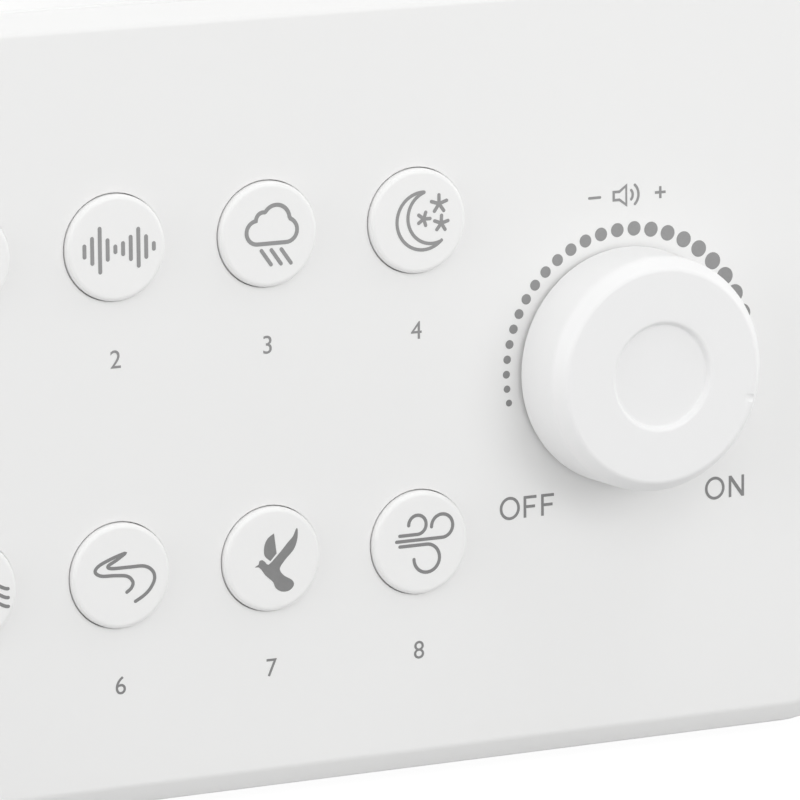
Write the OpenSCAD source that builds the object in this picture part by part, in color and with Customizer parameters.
// Tabletop sound machine: a shallow plastic case with eight push buttons and a volume knob on its
// front and a loudspeaker that fires upwards through a perforated grille.
// Millimetres, +Z up, the front faces -Y, the origin is on the table under the middle of the whole.

/* [Case] */
// Width of the case, side to side
case_w = 150; // [148:1:200]
// Height of the case without its feet
case_h = 96.6; // [92:0.2:120]
// Depth of the case, flat front to back
case_depth = 62; // [60:1:90]
// Radius of the four corners, seen from the front
corner_r = 12; // [10:0.5:18]
// Thickness of the housing's walls
wall = 2.4; // [2:0.1:3]
// Radius of the edge that runs round the back
back_edge_r = 5; // [3.5:0.5:7]

/* [Front panel] */
// Width of the bevel round the flat front, seen from the front
bevel_w = 2.5; // [1.5:0.1:3]
// How far that bevel falls back
bevel_drop = 1.3; // [0.8:0.1:1.4]
// Thickness of the panel at its rim
rim_t = 3; // [3:0.1:3.6]
// Thickness of the panel behind its flat face
panel_t = 2.4; // [2.3:0.1:2.9]
// Width of the parting line between panel and housing
seam = 0.3; // [0.2:0.05:0.5]
// How far the locating lip reaches into the housing
lip_depth = 4; // [3:0.5:6]
// Thickness of that lip
lip_t = 1.6; // [1.2:0.1:2]

/* [Buttons] */
// Distance between button columns
pitch_x = 20; // [19.5:0.5:21]
// Distance between the two button rows
pitch_y = 39.6; // [36:0.2:42]
// From the case's left side to the first button column
button_edge = 26.1; // [24:0.1:27]
// Radius of a button cap
cap_r = 6.4; // [5.5:0.05:6.6]
// Gap between a cap and its hole, measured along the radius
cap_gap = 0.1; // [0.1:0.05:0.4]
// How far a cap stands out of the panel, which is also how far it can be pushed
cap_proud = 0.9; // [0.4:0.1:1.2]
// Radius of the soft edge round a cap's top
cap_edge_r = 0.6; // [0.5:0.1:1]

/* [Volume knob] */
// From the case's right side to the knob's axis
knob_edge = 35.2; // [32:0.1:38]
// How far the knob's axis lies below the middle of the panel
knob_drop = 0.4; // [0:0.1:2]
// Radius of the knob at its foot
knob_r = 14.75; // [13:0.05:16]
// Radius of the knob's flat face
knob_face_r = 13.2; // [11:0.1:13.3]
// Height of the knob's face over the panel
knob_h = 9.7; // [9:0.1:12]
// Gap under the knob
knob_gap = 0.5; // [0.3:0.1:1]
// Radius of the sunk disc in the knob's face
dish_r = 6.5; // [5:0.1:8]
// Depth of the sunk disc
dish_depth = 0.7; // [0.4:0.1:0.9]
// Direction of the knob's pointer notch, counter-clockwise from three o'clock
pointer_angle = -17; // [-28:1:242]
// Radius of the volume control's shaft
shaft_r = 3; // [2.5:0.1:3.2]
// Radial clearance of a shaft in its bearing
shaft_gap = 0.05; // [0.03:0.01:0.08]

/* [Loudspeaker] */
// Outer radius of the loudspeaker's flange
speaker_r = 25; // [24.5:0.1:25.4]
// Radius of the sound opening in the top wall
speaker_open_r = 22; // [20:0.5:22.5]
// Radius of the perforated grille
grille_r = 24; // [23.5:0.1:25]
// Thickness of the grille
grille_t = 1.2; // [1:0.1:1.4]
// Radius of a grille hole
grille_hole_r = 1; // [0.7:0.05:1.1]
// Distance between the rings of grille holes
grille_pitch = 3.3; // [3:0.1:3.5]
// Rings of holes round the middle one
grille_rings = 6; // [4:1:6]
// Overall depth of the loudspeaker under its flange
speaker_depth = 20; // [18:0.5:22]

/* [Sockets] */
// Radius of the headphone socket's bore
phone_bore_r = 1.8; // [1.75:0.01:1.85]
// Depth of the headphone socket's bore
phone_bore_depth = 14; // [12:0.5:15]
// Radius of the power inlet's bore
inlet_bore_r = 3.15; // [2.75:0.05:3.2]
// Radius of the power inlet's centre pin
inlet_pin_r = 1; // [0.8:0.05:1.25]
// Depth of the power inlet's bore
inlet_depth = 9.5; // [8:0.5:10]
// Height of both sockets over the case's underside
socket_height = 16; // [15:0.5:20]
// From the case's right side to the power inlet
inlet_edge = 29; // [28:0.5:36]
// Distance between the two sockets
socket_spacing = 18; // [16:0.5:20]

/* [Feet] */
// Radius of a rubber foot
foot_r = 5; // [4:0.5:6]
// How far a foot stands out of the underside
foot_show = 1.2; // [1:0.1:1.8]
// From the case's sides to the middle of a foot
foot_inset_x = 20; // [18:1:30]
// From the front and back to the middle of a foot
foot_inset_y = 16; // [14:1:20]

/* [Hidden] */
$fn = 64;

// Gaps between pieces that fit into each other
fit = 0.15;
skin = 0.1;
eps = 0.01;

// The whole stands on its feet, with its box centred on the origin from front to back
front_y = (knob_h - case_depth) / 2;
mid_z = foot_show + case_h / 2;
top_z = foot_show + case_h;

// Panel
lip_w = case_w - 2 * (wall + fit);
lip_h = case_h - 2 * (wall + fit);
lip_r = corner_r - wall - fit;
rim_soft = 0.3;
face_soft = 0.4;
seam_soft = 0.15;
panel_rib_t = 1;
panel_rib_end = panel_t + 2;

// Case screws: posts on the panel meet tubes on the housing
post_inset = 11.5;
post_r = 3.5;
post_end = 24;
tube_r = 4.4;
tube_seat = 3;
screw_r = 1.5;
screw_head_r = 2.9;
screw_head_h = 2.2;
screw_len = 14;
gusset_t = 1.2;
gusset_start = post_end + 8;
post_places = [for (sx = [-1, 1], sy = [-1, 1])
    [sx * (case_w / 2 - post_inset), sy * (case_h / 2 - post_inset)]];

// Buttons, counted from the left; row 1 is the upper row
columns = 4;
function column_x(i) = button_edge - case_w / 2 + i * pitch_x;
function row_y(j) = (j - 0.5) * pitch_y;
hole_r = cap_r + cap_gap;
hole_edge_r = 0.15;
guide_end = panel_t + 1;
guide_r = hole_r + 1.3;
flange_r = hole_r + 1;
flange_t = 1.2;
flange_start = guide_end + skin;
cap_top_t = 1.5;
cap_wall = 1.3;
stem_r = 1.6;
key_w = 2;
key_r = guide_r + 1.4;
key_rib_t = 0.9;
key_rib_end = flange_start + flange_t + cap_proud + 0.4;

// Control board, behind the panel
board_front = 11.4;
board_t = 1.6;
board_back = board_front + board_t;
board_margin = 9;
board_edge_y = 10.7;
board_h = pitch_y + 2 * board_edge_y;
board_x0 = column_x(0) - board_margin;
board_x1 = case_w / 2 - knob_edge + 13;
board_screw_r = 1.1;
board_screw_len = 6;
board_screw_head_r = 2.1;
board_screw_head_h = 1.5;
board_post_r = 2.5;
board_post_inset = 3.5;
board_post_y = board_h / 2 - board_post_inset;
board_post_places = [for (x = [column_x(0) + pitch_x / 2, column_x(3) + 12], sy = [-1, 1])
    [x, sy * board_post_y]];
switch_size = 6;
switch_h = 3.5;
plunger_r = 1.7;
plunger_show = 1;
plunger_in = 2;
plunger_front = board_front - switch_h - plunger_show;

// Parts on the back of the control board, placed from the button columns, their rows and the knob
sound_chip_l = 12.8;
sound_chip_w = 7.5;
sound_chip_h = 2.4;
amplifier_l = 5;
amplifier_w = 4;
amplifier_h = 1.6;
leg_pitch = 1.27;
leg_w = 0.4;
leg_l = 1.2;
leg_t = 0.5;
capacitor_r = 4;
capacitor_h = 9;
capacitor_gap = 16;
capacitor_pitch = 10;
header_w = 7.5;
header_d = 5.5;
header_h = 6;
header_wall = 1;
header_floor = 2;

// Volume control
knob_x = case_w / 2 - knob_edge;
parts_y = -pitch_y / 6;
header_places = [[column_x(2), pitch_y * 0.4], [knob_x - header_w, -pitch_y / 2]];
bushing_r = 4.4;
bushing_out = 2.9;
washer_r = 6.4;
washer_t = 0.4;
nut_r = 6.3;
nut_t = 2;
can_r = 8.2;
lug_r = 6.8;
lug_w = 2.4;
lug_t = 1;
lug_reach = 1.3;
terminal_r = 0.5;
terminal_pitch = 5;
terminal_row = 5.5;
terminal_show = 1.5;
shaft_in = 5.5;
shaft_out = knob_h - dish_depth - 1.2;
shaft_flat = shaft_r * 0.55;
knob_wall = 1.8;
knob_top_t = 1.9;
knob_roof = knob_h - dish_depth - knob_top_t;
knob_hub_r = shaft_r + 2.4;
knob_clear = bushing_out + 0.4;
knob_shoulder = 0.82;
knob_draft = 0.2;
knob_crease_soft = 0.5;
knob_face_soft = 0.35;
knob_foot_soft = 0.25;
dish_soft = 0.3;
dish_slope = 0.35;
notch_r = 0.75;
notch_tilt = 13;
notch_len = 1.2;

// Loudspeaker, in the middle of the top wall
speaker_y = (case_depth + rim_t) / 2 + 0.2;
cloth_t = 0.4;
gasket_t = 1.6;
gasket_r = speaker_r - 0.2;
seat_gap = 0.3;
flange_thick = 1.2;
gasket_z = -wall - cloth_t;
flange_z = gasket_z - gasket_t;
speaker_low = flange_z - speaker_depth;
basket_in_r = speaker_r - 3.5;
magnet_inset = 9;
magnet_r = speaker_r - magnet_inset;
magnet_h = 5;
plate_t = 2;
basket_low = speaker_low + 2 * plate_t + magnet_h + 1;
clamp_place_r = speaker_r + 3.2;
clamp_r = 4.2;
clamp_t = 0.8;
boss_r = 2.8;
boss_end = flange_z - flange_thick;
lug_screw_r = 1.1;
lug_screw_len = 4.4;
lug_screw_head_r = 2.2;
lug_screw_head_h = 1.6;
pole_r = 6;
coil_in_r = 6.4;
coil_out_r = 6.85;
plate_bore_r = 7.2;
cone_t = 0.5;
cone_out_r = basket_in_r - 3.2;
cone_top = flange_z;
cone_neck_r = coil_out_r + 0.05;
cone_drop = 6.6;
dust_cap_h = 3;
dust_cap_t = 0.5;
dust_cap_lap = 1;
lug_strip_x = magnet_r + 3.5;
lug_strip_l = 6;
lug_strip_w = 10;
lug_strip_t = 1;
lug_strip_z = basket_low - 1 - lug_strip_t;

// Jack board, flat over the case's underside at the back
inlet_x = case_w / 2 - inlet_edge;
phone_x = inlet_x - socket_spacing;
socket_y = socket_height - case_h / 2;
inlet_body = [9, 11, 12];
phone_body = [6, 6.6, 13];
jack_board_top = socket_y - inlet_body[1] / 2;
jack_board_back = case_depth - wall - 0.4;
jack_board_len = 20;
jack_board_side = 7;
jack_board_x0 = phone_x - jack_board_side;
jack_board_x1 = inlet_x + jack_board_side;
jack_screw_len = 5;
jack_post_depth = jack_board_back - jack_board_len + board_post_inset;
jack_post_places = [jack_board_x0 + board_post_inset, jack_board_x1 - board_post_inset];
collar_t = 1.4;

// Feet
foot_sink = 0.6;
foot_edge = 0.5;

// Wires inside the case: each end sits on its terminal, in its header or on its board
wire_r = 0.7;
cable_r = 1.4;
wire_sides = 8;
lead_side = 3;
header_side = 1.1;
cable_depth = jack_board_back - jack_board_len + 4;

// ---- Frames: each puts local +Z out of one side of the case ----

module front_frame() {
    translate([0, front_y, mid_z]) rotate([90, 0, 0]) children();
}

module top_frame() {
    translate([0, front_y + speaker_y, top_z]) children();
}

module knob_frame() {
    front_frame() translate([knob_x, -knob_drop, 0]) children();
}

// ---- Shared shapes ----

module round_rect(w, h, r) {
    square([w - 2 * r, h], center = true);
    square([w, h - 2 * r], center = true);
    for (sx = [-1, 1], sy = [-1, 1])
        translate([sx * (w / 2 - r), sy * (h / 2 - r)]) circle(r);
}

module slab(w, h, r, low, high) {
    translate([0, 0, low]) linear_extrude(high - low) round_rect(w, h, r);
}

// A slab with rounded corners whose edge follows a profile of [inset, height] points, low to high
module edged_slab(w, h, r, profile) {
    low = profile[0][1];
    high = profile[len(profile) - 1][1];
    half = function(size) concat(
        [for (p = profile) [size / 2 - p[0], p[1]]],
        [for (i = [len(profile) - 1:-1:0]) [profile[i][0] - size / 2, profile[i][1]]]);
    rotate([90, 0, 0]) translate([0, 0, r - h / 2]) linear_extrude(h - 2 * r) polygon(half(w));
    rotate([90, 0, 90]) translate([0, 0, r - w / 2]) linear_extrude(w - 2 * r) polygon(half(h));
    for (q = [0:3]) {
        sx = (q == 0 || q == 3) ? 1 : -1;
        sy = q < 2 ? 1 : -1;
        translate([sx * (w / 2 - r), sy * (h / 2 - r), 0]) rotate(q * 90)
            rotate_extrude(angle = 90)
            polygon(concat([[0, low]], [for (p = profile) [r - p[0], p[1]]], [[0, high]]));
    }
}

// Quarter circle of edge points, from the side's end to the face's end
function edge_arc(radius, face, steps) = [for (i = [0:steps])
    let (a = 90 * i / steps) [radius * (1 - cos(a)), face - radius * (1 - sin(a))]];

// Soft turn at a corner between its neighbours: it takes up the same reach of both edges
function soft_corner(before, corner, after, reach, steps) = let (
    start = corner + reach * unit(before - corner), end = corner + reach * unit(after - corner))
    [for (i = [0:steps]) let (t = i / steps)
        (1 - t) * (1 - t) * start + 2 * t * (1 - t) * corner + t * t * end];

module tube(r_out, r_in, low, high) {
    translate([0, 0, low]) difference() {
        cylinder(h = high - low, r = r_out);
        translate([0, 0, -eps]) cylinder(h = high - low + 2 * eps, r = r_in);
    }
}

module rod(r, low, high) {
    translate([0, 0, low]) cylinder(h = high - low, r = r);
}

// Pan-head screw: local z = 0 is the face under its head, the thread points down
module screw(r, length, head_r, head_h) {
    difference() {
        rotate_extrude() polygon(concat([[0, -length], [r * 0.6, -length], [r, -length + r * 0.6],
            [r, 0], [head_r, 0]],
            [for (i = [0:4]) let (a = 18 + 18 * i) [head_r * cos(a), head_h * sin(a)]]));
        for (turn = [0, 90]) rotate(turn)
            translate([0, 0, head_h]) cube([head_r * 1.1, 0.55, head_h * 1.1], center = true);
    }
}

function unit(v) = v / norm(v);
function heading(path, i) = unit(path[min(i + 1, len(path) - 1)] - path[max(i - 1, 0)]);
function hoop(centre, along, r) = let (u = unit(cross(along, [0.8, 0.2, 0.55])), v = cross(along, u))
    [for (k = [0:wire_sides - 1])
        centre + r * (cos(360 * k / wire_sides) * u + sin(360 * k / wire_sides) * v)];

// Catmull-Rom curve through the route's points
function bend(a, b, c, d, t) = 0.5 * (2 * b + (c - a) * t + (2 * a - 5 * b + 4 * c - d) * t * t
    + (3 * b - a - 3 * c + d) * t * t * t);
function smooth(route, steps) = let (last = len(route) - 1) concat(
    [for (i = [0:last - 1], k = [0:steps - 1]) bend(route[max(i - 1, 0)], route[i], route[i + 1],
        route[min(i + 2, last)], k / steps)], [route[last]]);

module wire(route, r) {
    path = smooth(route, 3);
    count = len(path);
    points = [for (i = [0:count - 1]) each hoop(path[i], heading(path, i), r)];
    sides = [for (i = [0:count - 2], k = [0:wire_sides - 1]) let (n = (k + 1) % wire_sides)
        [i * wire_sides + k, i * wire_sides + n, (i + 1) * wire_sides + n, (i + 1) * wire_sides + k]];
    ends = [[for (k = [wire_sides - 1:-1:0]) k],
        [for (k = [0:wire_sides - 1]) (count - 1) * wire_sides + k]];
    polyhedron(points, concat(sides, ends), convexity = 4);
}

// ---- Front panel ----

// The rim and the locating lip behind it are hollow up to the back of the flat face
module panel_shell() {
    difference() {
        union() {
            edged_slab(case_w, case_h, corner_r, concat([[seam_soft, -rim_t], [0, seam_soft - rim_t]],
                soft_corner([0, -rim_t], [0, -bevel_drop], [bevel_w, 0], rim_soft, 3),
                soft_corner([0, -bevel_drop], [bevel_w, 0], [bevel_w + 1, 0], face_soft, 4)));
            slab(lip_w, lip_h, lip_r, -rim_t - lip_depth, -rim_t);
        }
        slab(lip_w - 2 * lip_t, lip_h - 2 * lip_t, lip_r - lip_t, -rim_t - lip_depth - eps,
             -panel_t);
    }
}

module key_ribs() {
    for (side = [-1, 1]) translate([guide_r - 0.4, side * (key_w / 2 + fit) + (side - 1) / 2 * key_rib_t,
                                    -key_rib_end])
        cube([key_r - guide_r + 1.4, key_rib_t, key_rib_end - panel_t]);
}

// Ribs behind the flat face: one between each pair of button guides, and one across the middle
module panel_ribs() {
    reach = pitch_y / 2 - flange_r - fit;
    for (i = [0:columns - 1]) translate([column_x(i) - panel_rib_t / 2, -reach, -panel_rib_end])
        cube([panel_rib_t, 2 * reach, panel_rib_end - panel_t]);
    translate([column_x(0), -panel_rib_t / 2, -panel_rib_end])
        cube([(columns - 1) * pitch_x, panel_rib_t, panel_rib_end - panel_t]);
}

// Room that the panel's lip and the housing leave round the loudspeaker's flange
module speaker_seat(r) {
    top_frame() rod(r, flange_z - flange_thick - seat_gap, -wall);
}

// Hole with a softly rounded mouth
module button_hole() {
    rotate_extrude() polygon(concat([[0, 1], [0, -guide_end - 1], [hole_r, -guide_end - 1]],
        [for (a = [0:30:90]) [hole_r + hole_edge_r * (1 - cos(a)), -hole_edge_r * (1 - sin(a))]],
        [[hole_r + hole_edge_r, 1]]));
}

module front_panel() {
    color("whitesmoke") difference() {
        front_frame() panel_solid();
        speaker_seat(speaker_r + seat_gap);
    }
}

module panel_solid() {
    difference() {
        union() {
            panel_shell();
            panel_ribs();
            for (p = post_places) translate(p) rod(post_r, -post_end, -panel_t);
            for (p = board_post_places) translate(p) rod(board_post_r, -board_front, -panel_t);
            for (i = [0:columns - 1], j = [0, 1]) translate([column_x(i), row_y(j), 0]) {
                rod(guide_r, -guide_end, -panel_t);
                key_ribs();
            }
        }
        for (i = [0:columns - 1], j = [0, 1]) translate([column_x(i), row_y(j), 0]) button_hole();
        for (p = post_places) translate(p) rod(screw_r + skin / 2, -post_end - 1, -post_end + 12);
        for (p = board_post_places) translate(p)
            rod(board_screw_r + skin / 2, -board_front - 1, -board_front + 6);
        translate([knob_x, -knob_drop, 0]) {
            rod(bushing_r + fit, -panel_t - 1, 1);
            translate([0, -lug_r, -panel_t]) cube([lug_w + 2 * fit, lug_t + 2 * fit, 2 * lug_reach + 0.4],
                center = true);
        }
    }
}

// ---- Rear shell ----

module shell_walls() {
    front = -rim_t - seam;
    inner_edge_r = back_edge_r - wall;
    difference() {
        mirror([0, 0, 1]) edged_slab(case_w, case_h, corner_r, concat(
            [[seam_soft, -front], [0, seam_soft - front]], edge_arc(back_edge_r, case_depth, 8)));
        mirror([0, 0, 1]) edged_slab(case_w - 2 * wall, case_h - 2 * wall, corner_r - wall,
            concat([[0, -front - 1]], edge_arc(inner_edge_r, case_depth - wall, 4)));
    }
}

module shell_posts() {
    for (p = post_places) translate(p) {
        rod(tube_r, -case_depth + wall / 2, -post_end);
        gussets(sign(p[0]), sign(p[1]));
    }
    for (x = jack_post_places)
        translate([x, wall / 2 - case_h / 2, -jack_post_depth]) rotate([-90, 0, 0])
            rod(board_post_r, 0, jack_board_top - board_t + case_h / 2 - wall / 2);
}

// Two thin webs tie a screw tube to the nearest walls
module gussets(sx, sy) {
    length = post_inset - wall / 2;
    height = case_depth - wall / 2 - gusset_start;
    translate([sx * length / 2, 0, -gusset_start - height / 2])
        cube([length, gusset_t, height], center = true);
    translate([0, sy * length / 2, -gusset_start - height / 2])
        cube([gusset_t, length, height], center = true);
}

module clamp_places() {
    for (a = [45:90:315]) rotate(a) translate([clamp_place_r, 0, 0]) children();
}

module foot_places() {
    for (sx = [-1, 1], depth = [foot_inset_y, case_depth - foot_inset_y])
        translate([sx * (case_w / 2 - foot_inset_x), front_y + depth, foot_show]) children();
}

module rear_shell() {
    color("white") difference() {
        union() {
            front_frame() shell_walls();
            front_frame() shell_posts();
            top_frame() clamp_places() rod(boss_r, boss_end, -wall / 2);
            foot_places() rod(foot_r + 1.5, wall / 2, wall + 0.6);
        }
        speaker_seat(gasket_r + skin);
        front_frame() for (p = post_places) translate(p) {
            rod(screw_r + fit, -post_end - tube_seat - 1, -post_end + 1);
            rod(screw_head_r + 0.4, -case_depth - 1, -post_end - tube_seat);
        }
        front_frame() for (x = jack_post_places)
            translate([x, 0, -jack_post_depth]) rotate([-90, 0, 0])
                rod(board_screw_r + skin / 2, jack_board_top - board_t - 4.5, jack_board_top);
        front_frame() translate([inlet_x, socket_y, 0])
            rod(inlet_bore_r + collar_t + fit, -case_depth - 1, -case_depth + wall + 1);
        front_frame() translate([phone_x, socket_y, 0])
            rod(phone_bore_r + collar_t + fit, -case_depth - 1, -case_depth + wall + 1);
        top_frame() {
            rod(speaker_open_r, -wall - 1, 1);
            rod(grille_r + skin, -grille_t, 1);
            clamp_places() rod(lug_screw_r + skin / 2, boss_end - 1, -wall + 0.4);
        }
        foot_places() rod(foot_r + skin, -1, foot_sink);
    }
}

// ---- Buttons ----

module button_cap(i, j) {
    flange_end = -flange_start - flange_t;
    cap_in = cap_r - cap_wall;
    color("white") front_frame() translate([column_x(i), row_y(j), 0]) {
        rotate_extrude() polygon(concat(
            [[0, -plunger_front], [stem_r, -plunger_front], [stem_r, cap_proud - cap_top_t],
             [cap_in, cap_proud - cap_top_t], [cap_in, flange_end], [flange_r, flange_end],
             [flange_r, -flange_start], [cap_r, -flange_start]],
            [for (a = [0:10:90]) [cap_r - cap_edge_r * (1 - cos(a)),
                                  cap_proud - cap_edge_r * (1 - sin(a))]],
            [[0, cap_proud]]));
        translate([flange_r - 0.6, -key_w / 2, flange_end])
            cube([key_r - flange_r + 0.6, key_w, flange_t]);
    }
}

module plunger(i, j) {
    color("dimgray") front_frame() translate([column_x(i), row_y(j), 0])
        rod(plunger_r, -plunger_front - plunger_show - plunger_in + cap_proud + skin, -plunger_front);
}

module tact_switches() {
    color("silver") front_frame() for (i = [0:columns - 1], j = [0, 1])
        translate([column_x(i), row_y(j), -board_front]) difference() {
            union() {
                translate([-switch_size / 2, -switch_size / 2, 0])
                    cube([switch_size, switch_size, switch_h - 0.3]);
                rod(plunger_r + 1, switch_h - 0.4, switch_h);
                for (sx = [-1, 1], sy = [-1, 1]) translate([sx * 2.2, sy * 2.2, 0])
                    rod(0.45, 1, switch_h - 0.1);
            }
            rod(plunger_r + fit, switch_h - plunger_in - skin, switch_h + 1);
        }
}

// ---- Volume control ----

module d_profile(r, flat, gap) {
    intersection() {
        circle(r + gap);
        translate([-r - 1, -r - 1]) square([2 * r + 2, r + 1 + flat + gap]);
    }
}

module volume_knob() {
    foot = [knob_r, knob_gap];
    shoulder = [knob_r - knob_draft, knob_h * knob_shoulder];
    edge = [knob_face_r, knob_h];
    dish_top = [dish_r + dish_slope / 2, knob_h];
    dish_floor = [dish_r - dish_slope / 2, knob_h - dish_depth];
    color("white") knob_frame() rotate(pointer_angle) difference() {
        union() {
            rotate_extrude() polygon(concat([[knob_r - knob_wall, knob_gap]],
                soft_corner([0, knob_gap], foot, shoulder, knob_foot_soft, 2),
                soft_corner(foot, shoulder, edge, knob_crease_soft, 4),
                soft_corner(shoulder, edge, dish_top, knob_face_soft, 4),
                soft_corner(edge, dish_top, dish_floor, dish_soft, 5),
                soft_corner(dish_top, dish_floor, [0, dish_floor[1]], dish_soft / 2, 4),
                [[0, dish_floor[1]], [0, knob_clear], [knob_hub_r, knob_clear],
                 [knob_hub_r, knob_roof], [knob_r - knob_wall, knob_roof]]));
            for (a = [30:60:330]) rotate(a)
                translate([knob_hub_r - 0.3, -0.6, knob_clear + 0.8])
                    cube([knob_r - knob_wall - knob_hub_r + 0.6, 1.2, knob_roof - knob_clear - 0.7]);
        }
        translate([0, 0, knob_clear - 1]) linear_extrude(shaft_out + skin - knob_clear + 1)
            d_profile(shaft_r, shaft_flat, shaft_gap);
        translate([knob_face_r - notch_len, 0, knob_h + notch_r])
            rotate([0, 90 + notch_tilt, 0]) rod(notch_r, 0, 4);
    }
}

module volume_shaft() {
    color("silver") knob_frame() rotate(pointer_angle) {
        rod(shaft_r, -panel_t - shaft_in, bushing_out);
        translate([0, 0, bushing_out]) linear_extrude(shaft_out - bushing_out)
            d_profile(shaft_r, shaft_flat, 0);
    }
}

module volume_body() {
    color("silver") knob_frame() difference() {
        union() {
            rod(can_r, -board_front, -panel_t - 1.2);
            translate([0, 0, -panel_t - 0.6]) cube([2 * can_r + 1, 2 * can_r - 2, 1.2], center = true);
            translate([0, -lug_r, -panel_t - eps]) cube([lug_w, lug_t, 2 * lug_reach], center = true);
        }
        rod(shaft_r + shaft_gap, -panel_t - shaft_in - 0.3, 1);
    }
}

module volume_bushing() {
    color("gold") knob_frame() tube(bushing_r, shaft_r + shaft_gap, -panel_t, bushing_out);
}

module volume_washer() {
    color("silver") knob_frame() tube(washer_r, bushing_r + skin, 0, washer_t);
}

module volume_nut() {
    color("silver") knob_frame() difference() {
        translate([0, 0, washer_t]) cylinder(h = nut_t, r = nut_r, $fn = 6);
        rod(bushing_r + skin, 0, washer_t + nut_t + 1);
    }
}

module terminal_places() {
    for (k = [-1:1]) translate([k * terminal_pitch, -terminal_row, 0]) children();
    for (k = [-1, 1]) translate([k * terminal_pitch * 0.6, terminal_row, 0]) children();
}

module volume_terminals() {
    color("silver") knob_frame() terminal_places()
        rod(terminal_r, -board_back - terminal_show, -board_front);
}

// ---- Control board ----

module control_board() {
    color("seagreen") front_frame() difference() {
        translate([board_x0, -board_h / 2, -board_back])
            cube([board_x1 - board_x0, board_h, board_t]);
        for (p = board_post_places) translate(p)
            rod(board_screw_r + fit, -board_back - 1, -board_front + 1);
        translate([knob_x, -knob_drop, 0]) terminal_places()
            rod(terminal_r + 2 * fit, -board_back - 1, -board_front + 1);
    }
}

module board_screws() {
    color("silver") front_frame() for (p = board_post_places) translate([p[0], p[1], -board_back])
        mirror([0, 0, 1]) screw(board_screw_r, board_screw_len, board_screw_head_r, board_screw_head_h);
}

module behind_board(x, y) {
    front_frame() translate([x, y, -board_back]) mirror([0, 0, 1]) children();
}

module chip(length, width, height, legs) {
    translate([-length / 2, -width / 2, skin]) cube([length, width, height - skin]);
    for (side = [-1, 1], k = [0:legs - 1])
        translate([(k - (legs - 1) / 2) * leg_pitch - leg_w / 2,
                   side * (width / 2 + leg_l / 2 - skin) - leg_l / 2, 0])
            cube([leg_w, leg_l, leg_t]);
}

module sound_chip() {
    color("dimgray") behind_board((column_x(1) + column_x(2)) / 2, parts_y)
        chip(sound_chip_l, sound_chip_w, sound_chip_h, 10);
}

module amplifier_chip() {
    color("dimgray") behind_board(knob_x - capacitor_gap - 2 * capacitor_pitch, -parts_y)
        chip(amplifier_l, amplifier_w, amplifier_h, 4);
}

module capacitors() {
    crimp = capacitor_r * 0.08;
    color("steelblue") for (k = [0, 1])
        behind_board(knob_x - capacitor_gap - k * capacitor_pitch, parts_y) rotate_extrude()
            polygon([[0, 0], [capacitor_r - crimp, 0], [capacitor_r, crimp],
                [capacitor_r, 5 * crimp], [capacitor_r - crimp, 6 * crimp],
                [capacitor_r, 7 * crimp], [capacitor_r, capacitor_h - crimp],
                [capacitor_r - crimp, capacitor_h], [0, capacitor_h]]);
}

module wire_headers() {
    color("ivory") for (p = header_places) behind_board(p[0], p[1]) difference() {
        translate([-header_w / 2, -header_d / 2, 0]) cube([header_w, header_d, header_h]);
        translate([header_wall - header_w / 2, header_wall - header_d / 2, header_floor])
            cube([header_w - 2 * header_wall, header_d - 2 * header_wall, header_h]);
    }
}

// ---- Loudspeaker ----

module speaker_grille() {
    color("white") top_frame() difference() {
        rotate_extrude() polygon([[0, -grille_t], [grille_r, -grille_t], [grille_r, -0.2],
            [grille_r - 0.2, 0], [0, 0]]);
        for (ring = [0:grille_rings], k = [0:max(ring * 6 - 1, 0)])
            rotate(ring == 0 ? 0 : 360 * k / (ring * 6)) translate([ring * grille_pitch, 0, 0])
                rod(grille_hole_r, -grille_t - 1, 1, $fn = 24);
    }
}

module acoustic_cloth() {
    color("dimgray") top_frame() rod(gasket_r - 0.3, gasket_z, -wall);
}

module speaker_gasket() {
    color("dimgray") top_frame() tube(gasket_r, basket_in_r + 1.2, flange_z, gasket_z);
}

module speaker_frame() {
    low_r = magnet_r + 1.5;
    color("silver") top_frame() difference() {
        rotate_extrude() polygon([[basket_in_r, flange_z], [speaker_r, flange_z],
            [speaker_r, flange_z - flange_thick], [basket_in_r + 1, flange_z - flange_thick],
            [low_r, basket_low], [low_r, basket_low - 1], [plate_bore_r + 1, basket_low - 1],
            [plate_bore_r + 1, basket_low], [low_r - 0.9, basket_low],
            [basket_in_r, flange_z - flange_thick]]);
        for (a = [0:90:270]) rotate(a)
            translate([low_r - 1.2, -7, basket_low + 1.2])
                cube([10, 14, flange_z - flange_thick - basket_low - 2.2]);
    }
}

module speaker_surround() {
    roll_r = (basket_in_r + 0.4 - cone_out_r) / 2;
    roll_mid = cone_out_r + roll_r;
    color("dimgray") top_frame() rotate_extrude() polygon(concat(
        [[basket_in_r + 1, flange_z], [basket_in_r + 1, flange_z + 0.4]],
        [for (a = [0:20:180]) [roll_mid + (roll_r + 0.1) * cos(a), flange_z + 0.4 + 0.75 * sin(a)]],
        [[cone_out_r - 1, flange_z + 0.4], [cone_out_r - 1, flange_z]],
        [for (a = [180:-20:0]) [roll_mid + (roll_r - 0.25) * cos(a), flange_z + 0.45 * sin(a)]]));
}

module speaker_cone() {
    low = cone_top - cone_drop;
    color("black") top_frame() rotate_extrude() polygon([[cone_neck_r, low - 1.2],
        [cone_neck_r + cone_t, low - 1.2], [cone_neck_r + cone_t, low - cone_t],
        [cone_out_r - 1, cone_top - cone_t - 0.1], [cone_out_r, cone_top - cone_t - 0.1],
        [cone_out_r, cone_top - 0.1], [cone_out_r - 1.2, cone_top - 0.1],
        [cone_neck_r + cone_t, low + 0.2], [cone_neck_r, low]]);
}

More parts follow.
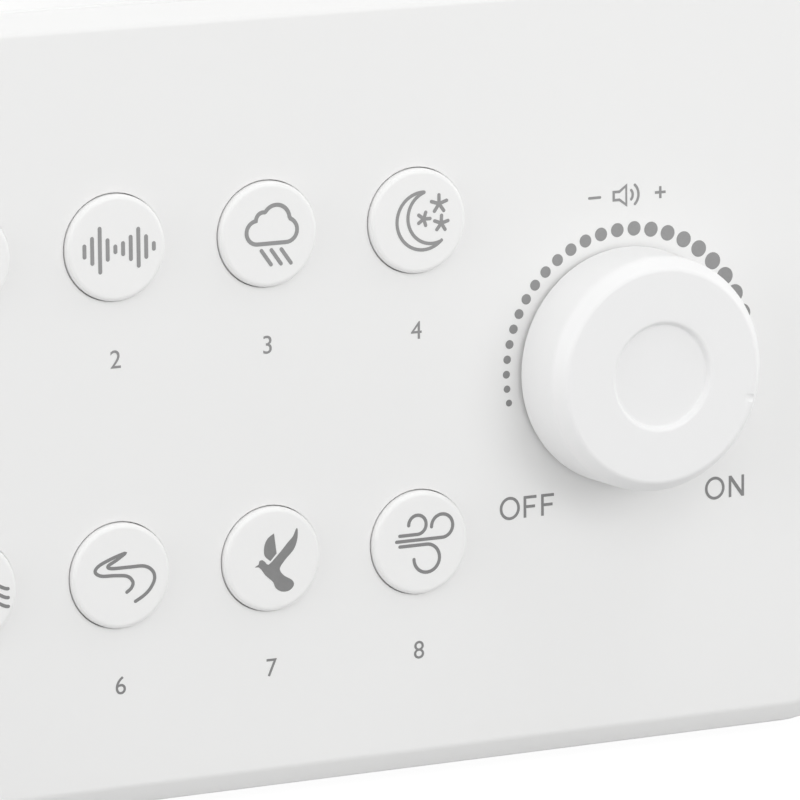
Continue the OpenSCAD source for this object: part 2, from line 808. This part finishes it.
module speaker_dust_cap() {
    rim = cone_neck_r + cone_t + dust_cap_lap;
    base = cone_top - cone_drop + dust_cap_lap;
    color("black") top_frame() rotate_extrude() polygon(concat(
        [for (a = [0:15:90]) [rim * cos(a), base + dust_cap_h * sin(a)]],
        [for (a = [90:-15:0])
            [(rim - dust_cap_t) * cos(a), base + (dust_cap_h - dust_cap_t) * sin(a)]]));
}

module voice_coil() {
    color("chocolate") top_frame()
        tube(coil_out_r, coil_in_r, basket_low - plate_t - 3, cone_top - cone_drop - 0.6);
}

module speaker_magnet() {
    magnet_top = basket_low - 1 - plate_t;
    color("dimgray") top_frame() tube(magnet_r, plate_bore_r + 1.5, magnet_top - magnet_h, magnet_top);
}

module speaker_pole_plates() {
    top = basket_low - 1;
    color("silver") top_frame() {
        tube(magnet_r - 1, plate_bore_r, top - plate_t, top);
        rod(magnet_r - 1, speaker_low, speaker_low + plate_t);
        rod(pole_r, speaker_low, top);
    }
}

module speaker_terminals() {
    color("peru") top_frame() translate([-lug_strip_x, 0, lug_strip_z + lug_strip_t / 2])
        cube([lug_strip_l, lug_strip_w, lug_strip_t], center = true);
}

module speaker_clamps() {
    color("silver") top_frame() clamp_places()
        tube(clamp_r, lug_screw_r + skin, boss_end - clamp_t, boss_end);
}

module speaker_screws() {
    color("silver") top_frame() clamp_places() translate([0, 0, boss_end - clamp_t])
        mirror([0, 0, 1]) screw(lug_screw_r, lug_screw_len, lug_screw_head_r, lug_screw_head_h);
}

// ---- Sockets at the back ----

module jack_board() {
    color("seagreen") front_frame() difference() {
        translate([jack_board_x0, jack_board_top - board_t, -jack_board_back])
            cube([jack_board_x1 - jack_board_x0, board_t, jack_board_len]);
        for (x = jack_post_places) translate([x, jack_board_top, -jack_post_depth])
            rotate([90, 0, 0]) rod(board_screw_r + fit, -1, board_t + 1);
    }
}

module jack_board_screws() {
    color("silver") front_frame() for (x = jack_post_places)
        translate([x, jack_board_top, -jack_post_depth]) rotate([-90, 0, 0])
            screw(board_screw_r, jack_screw_len, board_screw_head_r, board_screw_head_h);
}

module power_inlet() {
    inner = case_depth - wall - fit;
    color("dimgray") front_frame() translate([inlet_x, socket_y, 0]) difference() {
        union() {
            translate([-inlet_body[0] / 2, -inlet_body[1] / 2, -inner])
                cube([inlet_body[0], inlet_body[1], inlet_body[2]]);
            rod(inlet_bore_r + collar_t, -case_depth, -inner + 1);
        }
        rod(inlet_bore_r, -case_depth - 1, -case_depth + inlet_depth);
    }
}

module power_inlet_pin() {
    color("gold") front_frame() translate([inlet_x, socket_y, -case_depth]) rotate_extrude()
        polygon([[0, 0.8], [inlet_pin_r * 0.5, 0.8], [inlet_pin_r, 1.4],
                 [inlet_pin_r, inlet_depth], [0, inlet_depth]]);
}

module headphone_socket() {
    inner = case_depth - wall - fit;
    bottom = jack_board_top - socket_y;
    color("dimgray") front_frame() translate([phone_x, socket_y, 0]) difference() {
        union() {
            translate([-phone_body[0] / 2, bottom, -inner])
                cube([phone_body[0], phone_body[1] / 2 - bottom, phone_body[2]]);
            rod(phone_bore_r + collar_t, -case_depth, -inner + 1);
        }
        rod(phone_bore_r, -case_depth - 1, -case_depth + phone_bore_depth);
    }
}

// ---- Wires ----

module speaker_lead(side) {
    start = [-lug_strip_x - 1, case_h / 2 + lug_strip_z - skin / 2, -speaker_y - side * lead_side];
    end = [header_places[0][0] + side * header_side, header_places[0][1],
           -board_back - header_floor - skin];
    front_frame() wire([start, start + [0, -3, 0], start + [1, -8, 4],
        end + [-3, 2, -9 - 2 * side], end + [0, 0, -6], end], wire_r);
}

module speaker_lead_red() {
    color("red") speaker_lead(1);
}

module speaker_lead_black() {
    color("dimgray") speaker_lead(-1);
}

module power_cable() {
    start = [header_places[1][0], header_places[1][1], -board_back - header_floor - skin];
    end = [(phone_x + inlet_x) / 2, jack_board_top + fit, -cable_depth];
    color("dimgray") front_frame() wire([start, start + [0, 0, -7], start + [1.5, -2, -16],
        end + [-1, 12.5, 4], end + [0, 7.5, 0], end], cable_r);
}

// ---- Fasteners and feet ----

module case_screws() {
    color("silver") front_frame() for (p = post_places)
        translate([p[0], p[1], -post_end - tube_seat]) mirror([0, 0, 1])
            screw(screw_r, screw_len, screw_head_r, screw_head_h);
}

module foot(sx, depth) {
    color("lightgray") translate([sx * (case_w / 2 - foot_inset_x), front_y + depth, 0])
        rotate_extrude() polygon([[0, 0], [foot_r - foot_edge, 0], [foot_r - 0.15, 0.2],
            [foot_r, foot_edge], [foot_r, foot_show + foot_sink], [0, foot_show + foot_sink]]);
}

front_panel();
rear_shell();
button_cap(0, 1);  // button_music
button_cap(1, 1);  // button_white_noise
button_cap(2, 1);  // button_rain
button_cap(3, 1);  // button_night
button_cap(0, 0);  // button_waves
button_cap(1, 0);  // button_stream
button_cap(2, 0);  // button_birds
button_cap(3, 0);  // button_wind
plunger(0, 1);  // plunger_music
plunger(1, 1);  // plunger_white_noise
plunger(2, 1);  // plunger_rain
plunger(3, 1);  // plunger_night
plunger(0, 0);  // plunger_waves
plunger(1, 0);  // plunger_stream
plunger(2, 0);  // plunger_birds
plunger(3, 0);  // plunger_wind
volume_knob();
volume_shaft();
volume_body();
volume_bushing();
volume_washer();
volume_nut();
volume_terminals();
control_board();
tact_switches();
board_screws();
sound_chip();
amplifier_chip();
capacitors();
wire_headers();
speaker_grille();
acoustic_cloth();
speaker_gasket();
speaker_frame();
speaker_surround();
speaker_cone();
speaker_dust_cap();
voice_coil();
speaker_magnet();
speaker_pole_plates();
speaker_terminals();
speaker_clamps();
speaker_screws();
jack_board();
jack_board_screws();
power_inlet();
power_inlet_pin();
headphone_socket();
speaker_lead_red();
speaker_lead_black();
power_cable();
case_screws();
foot(-1, foot_inset_y);  // foot_front_left
foot(1, foot_inset_y);  // foot_front_right
foot(-1, case_depth - foot_inset_y);  // foot_back_left
foot(1, case_depth - foot_inset_y);  // foot_back_right
